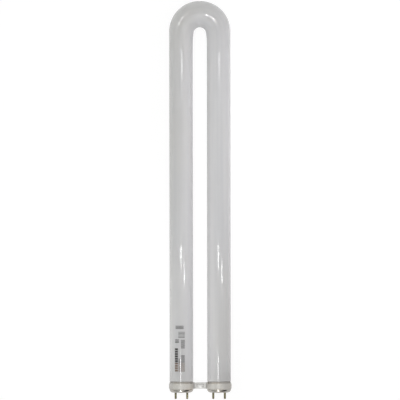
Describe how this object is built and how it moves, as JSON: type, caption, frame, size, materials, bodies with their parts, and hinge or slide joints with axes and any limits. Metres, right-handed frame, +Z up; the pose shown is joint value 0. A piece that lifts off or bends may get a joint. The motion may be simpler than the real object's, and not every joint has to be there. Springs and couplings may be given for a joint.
{
  "type": "u-bent fluorescent tube",
  "caption": "U-bent fluorescent tube with parallel legs, a metal two-pin base on each leg and a pressed brace tying the bases together.",
  "frame": {"origin": "below the middle of the lamp, on the surface it lies on", "axes": "+Y from the base pins to the bend, +X to the right leg as seen from above, +Z up; the U lies flat in a plane parallel to XY"},
  "size_m": [0.0688, 0.437, 0.0274],
  "materials": {
    "coated_glass": "clear gloss glass over a dense pale grey-white phosphor coating",
    "cap_metal": "satin drawn aluminium",
    "phenolic": "matt tan-brown phenolic",
    "cement": "rough cured basing cement",
    "pin_brass": "dull brass with a dark patina",
    "lead_metal": "drawn nickel-iron wire",
    "brace_metal": "pressed bright aluminium sheet"
  },
  "bodies": {
    "root": {"glass_tube": "coated_glass", "left_end_cap": "cap_metal", "right_end_cap": "cap_metal", "left_insulator": "phenolic", "right_insulator": "phenolic", "left_basing_cement": "cement", "right_basing_cement": "cement", "left_outer_contact_pin": "pin_brass", "left_inner_contact_pin": "pin_brass", "right_inner_contact_pin": "pin_brass", "right_outer_contact_pin": "pin_brass", "left_outer_lead_wire": "lead_metal", "left_inner_lead_wire": "lead_metal", "right_inner_lead_wire": "lead_metal", "right_outer_lead_wire": "lead_metal", "front_brace": "brace_metal", "rear_brace": "brace_metal"}
  },
  "joints": []
}
